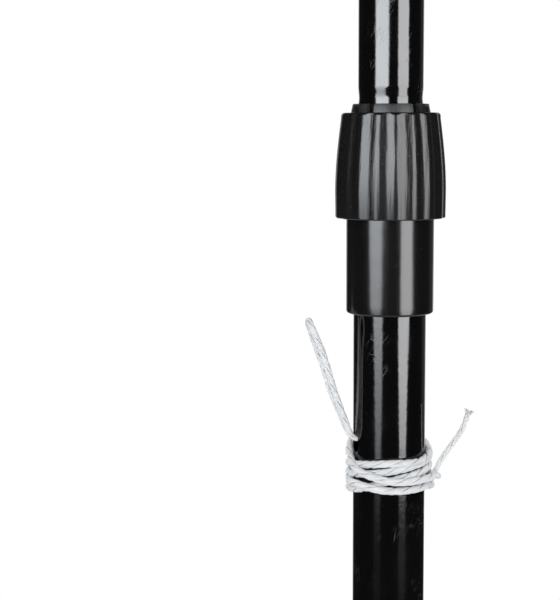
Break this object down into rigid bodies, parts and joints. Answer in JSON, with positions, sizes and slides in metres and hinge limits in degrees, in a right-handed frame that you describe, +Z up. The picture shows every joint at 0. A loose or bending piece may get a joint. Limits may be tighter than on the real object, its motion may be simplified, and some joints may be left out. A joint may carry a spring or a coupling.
{
  "type": "badminton net post",
  "caption": "Telescopic badminton net post with a fluted twist clamp, a lashed tie cord and a round sand-filled base with a clamped socket.",
  "frame": {"origin": "on the floor, on the axis of the tubes, at the centre of the round base", "axes": "+Z up along the tubes; -Y is the side the picture is taken from; +X is to the right of it"},
  "size_m": [0.42, 0.42, 1.55],
  "materials": {
    "tube_paint": "gloss black enamel on steel, lightly scuffed",
    "clamp_plastic": "moulded black plastic, semi-gloss with faint drag marks",
    "collet_plastic": "dull dark grey moulding with a flash line",
    "matt_plastic": "fine-grained black moulding",
    "tank_plastic": "blow-moulded black tank with a light orange-peel grain",
    "rubber": "soft black rubber",
    "zinc_steel": "zinc-plated",
    "nylon": "natural nylon",
    "sand": "dry sand",
    "white_cord": "twisted white polypropylene cord with a soft sheen"
  },
  "bodies": {
    "base": {"base_tank": "tank_plastic", "sand_ballast": "sand", "rubber_foot_1": "rubber", "rubber_foot_2": "rubber", "rubber_foot_3": "rubber", "rubber_foot_4": "rubber", "rubber_foot_5": "rubber", "rubber_foot_6": "rubber", "post_socket": "tube_paint", "socket_liner": "matt_plastic", "flange_screw_1": "zinc_steel", "flange_screw_2": "zinc_steel", "flange_screw_3": "zinc_steel", "flange_screw_4": "zinc_steel"},
    "seal": {"filler_seal": "rubber"},
    "cap": {"filler_cap": "matt_plastic"},
    "tip": {"pressure_tip": "nylon"},
    "knob": {"clamp_knob": "matt_plastic", "knob_screw": "zinc_steel"},
    "post": {"tube_foot_cap": "matt_plastic", "lower_tube": "tube_paint", "clamp_body": "clamp_plastic", "cord_loop": "white_cord", "lashing_first_strand": "white_cord", "lashing_second_strand": "white_cord", "cord_knot": "white_cord", "cord_tail": "white_cord"},
    "collet": {"clamp_collet": "collet_plastic"},
    "nut": {"clamp_nut": "clamp_plastic"},
    "extension": {"upper_tube": "tube_paint", "guide_plug": "nylon", "top_cap": "clamp_plastic"}
  },
  "joints": [
    {"name": "post_lift", "type": "slide", "parent": "base", "child": "post", "axis": [0, 0, 1], "range_m": [0, 0.13]},
    {"name": "tube_slide", "type": "slide", "parent": "post", "child": "extension", "axis": [0, 0, 1], "range_m": [-0.6, 0.04]},
    {"name": "collet_rise", "type": "slide", "parent": "post", "child": "collet", "axis": [0, 0, 1], "range_m": [0, 0.0045]},
    {"name": "nut_turn", "type": "hinge", "parent": "collet", "child": "nut", "pos_m": [0, 0, 0.818], "axis": [0, 0, 1], "range_deg": [0, 540]},
    {"name": "tip_travel", "type": "slide", "parent": "base", "child": "tip", "axis": [1, 0, 0], "range_m": [0, 0.003]},
    {"name": "knob_turn", "type": "hinge", "parent": "tip", "child": "knob", "pos_m": [0.04, 0, 0.1483], "axis": [1, 0, 0], "range_deg": [0, 720]},
    {"name": "seal_lift", "type": "slide", "parent": "base", "child": "seal", "axis": [0, 0, 1], "range_m": [0, 0.008]},
    {"name": "cap_turn", "type": "hinge", "parent": "seal", "child": "cap", "pos_m": [-0.0505, 0.12195, 0.088], "axis": [0, 0, 1], "range_deg": [0, 720]}
  ],
  "couplings": [
    {"joint": "collet_rise", "follows": "nut_turn", "m_per_rad": 0.00047746},
    {"joint": "tip_travel", "follows": "knob_turn", "m_per_rad": 0.00023873},
    {"joint": "seal_lift", "follows": "cap_turn", "m_per_rad": 0.00063661}
  ]
}
